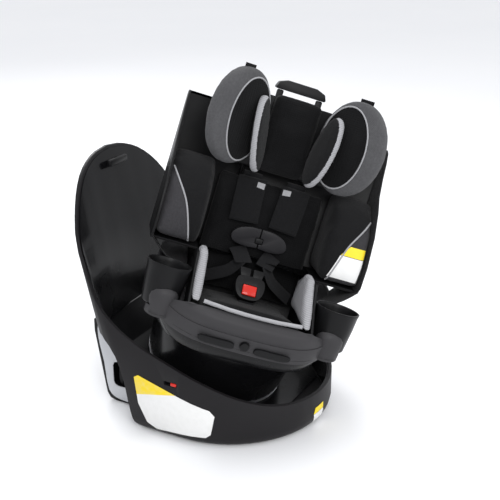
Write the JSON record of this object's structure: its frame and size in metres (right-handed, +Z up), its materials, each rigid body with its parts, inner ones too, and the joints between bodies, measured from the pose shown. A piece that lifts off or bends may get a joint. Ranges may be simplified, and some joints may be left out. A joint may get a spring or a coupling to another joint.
{
  "type": "convertible car seat",
  "caption": "Child car seat on a turntable base: bowl-shaped base with tall back, reclining seat with headrest, five-point harness and cup holders.",
  "frame": {"origin": "centre of the overall footprint, on the underside of the base", "axes": "+Z up, -Y towards the base's round front, +X towards the base's right as seen from behind; the seat is turned 60 degrees to the left and its turntable leans 21 degrees forward"},
  "size_m": [0.5068, 0.5992, 0.7219],
  "materials": {
    "shell_plastic": "satin charcoal",
    "gloss_black": "polished",
    "light_plastic": "satin light grey",
    "grey_plastic": "fine-grained grey",
    "black_plastic": "fine-grained",
    "red_plastic": "moulded",
    "steel": "brushed",
    "cap_chrome": "polished",
    "black_fabric": "open knit",
    "charcoal_fabric": "woven",
    "grey_fabric": "woven",
    "light_fabric": "ribbed",
    "webbing": "webbing",
    "label_film": "printed film"
  },
  "bodies": {
    "base": {"anchor_connector_left": "black_plastic", "anchor_connector_right": "black_plastic", "anchor_strap": "webbing", "base_label_left": "label_film", "base_label_right": "label_film", "base_outer_shell": "shell_plastic", "bottom_plate": "shell_plastic", "bowl_liner": "gloss_black", "foot_plate_left": "light_plastic", "foot_plate_right": "light_plastic", "lower_bearing_race": "steel", "rear_foot_block": "black_plastic", "spindle": "steel", "tether_guide": "black_plastic", "turntable_plinth": "shell_plastic"},
    "rear_lock_switch": {"rear_lock_switch": "red_plastic"},
    "turntable": {"turntable_bucket": "gloss_black", "bearing_ring": "steel", "rotation_lock_pin": "steel", "pivot_bracket_left": "steel", "pivot_bracket_right": "steel"},
    "seat": {"back_cushion": "black_fabric", "buckle_body": "black_plastic", "buckle_tongue_left": "steel", "buckle_tongue_right": "steel", "chest_clip_left": "black_plastic", "chest_clip_right": "black_plastic", "crotch_strap": "webbing", "front_piping": "light_fabric", "hip_pad_left": "light_fabric", "hip_pad_right": "light_fabric", "lower_strap_left": "webbing", "lower_strap_right": "webbing", "pivot_cap_left": "cap_chrome", "pivot_cap_right": "cap_chrome", "seat_cushion": "black_fabric", "seat_shell": "black_plastic", "seat_skirt": "grey_plastic", "shell_back_cover": "black_plastic", "shoulder_pad_left": "charcoal_fabric", "shoulder_pad_right": "charcoal_fabric", "shoulder_strap_left": "webbing", "shoulder_strap_right": "webbing", "side_bolster_left": "charcoal_fabric", "side_bolster_right": "charcoal_fabric", "skirt_under_ring": "gloss_black"},
    "headrest": {"headrest_frame": "black_plastic", "headrest_centre_pad": "black_fabric", "headrest_wing_left": "grey_fabric", "headrest_wing_right": "grey_fabric", "headrest_pillow_left": "charcoal_fabric", "headrest_pillow_right": "charcoal_fabric"},
    "headrest_handle": {"headrest_handle": "grey_plastic"},
    "buckle_button": {"buckle_button": "red_plastic"},
    "chest_clip_button": {"chest_clip_button": "black_plastic"},
    "adjuster_button": {"adjuster_button": "black_plastic"},
    "turn_handle": {"turn_handle": "black_plastic"},
    "recline_handle": {"recline_handle": "black_plastic"},
    "cup_holder_left": {"cup_holder_left": "black_plastic"},
    "cup_holder_right": {"cup_holder_right": "black_plastic"}
  },
  "joints": [
    {"name": "rear_lock_slide", "type": "slide", "parent": "base", "child": "rear_lock_switch", "axis": [0, 1, 0], "range_m": [0, 0.013]},
    {"name": "turntable_turn", "type": "hinge", "parent": "base", "child": "turntable", "pos_m": [-0.01375, -0.01044, 0.196], "axis": [0, -0.3584, 0.9336], "continuous": true},
    {"name": "seat_recline", "type": "hinge", "parent": "turntable", "child": "seat", "pos_m": [-0.05272, -0.06011, 0.26262], "axis": [-0.5, 0.8085, 0.3104], "range_deg": [-8, 12]},
    {"name": "headrest_height", "type": "slide", "parent": "seat", "child": "headrest", "axis": [0.2962, -0.1771, 0.9386], "range_m": [0, 0.14]},
    {"name": "headrest_release", "type": "slide", "parent": "headrest", "child": "headrest_handle", "axis": [0.2962, -0.1771, 0.9386], "range_m": [0, 0.008], "stiffness_N_per_m": 600},
    {"name": "buckle_press", "type": "slide", "parent": "seat", "child": "buckle_button", "axis": [0.5332, 0.5698, -0.6254], "range_m": [0, 0.0035], "stiffness_N_per_m": 900},
    {"name": "chest_clip_press", "type": "slide", "parent": "seat", "child": "chest_clip_button", "axis": [0.8138, 0.5612, -0.1509], "range_m": [0, 0.0012], "stiffness_N_per_m": 900},
    {"name": "adjuster_press", "type": "slide", "parent": "seat", "child": "adjuster_button", "axis": [0.866, 0.4668, 0.1792], "range_m": [0, 0.004], "stiffness_N_per_m": 700},
    {"name": "turn_handle_squeeze", "type": "hinge", "parent": "seat", "child": "turn_handle", "pos_m": [-0.22916, -0.097, 0.25489], "axis": [-0.5, 0.8085, 0.3104], "range_deg": [0, 18], "stiffness_Nm_per_rad": 4},
    {"name": "recline_handle_squeeze", "type": "hinge", "parent": "seat", "child": "recline_handle", "pos_m": [-0.17316, -0.18755, 0.22013], "axis": [-0.5, 0.8085, 0.3104], "range_deg": [0, 18], "stiffness_Nm_per_rad": 4},
    {"name": "cup_lift_left", "type": "slide", "parent": "seat", "child": "cup_holder_left", "axis": [0.2962, -0.1771, 0.9386], "range_m": [0, 0.06]},
    {"name": "cup_lift_right", "type": "slide", "parent": "seat", "child": "cup_holder_right", "axis": [0.2962, -0.1771, 0.9386], "range_m": [0, 0.06]}
  ]
}
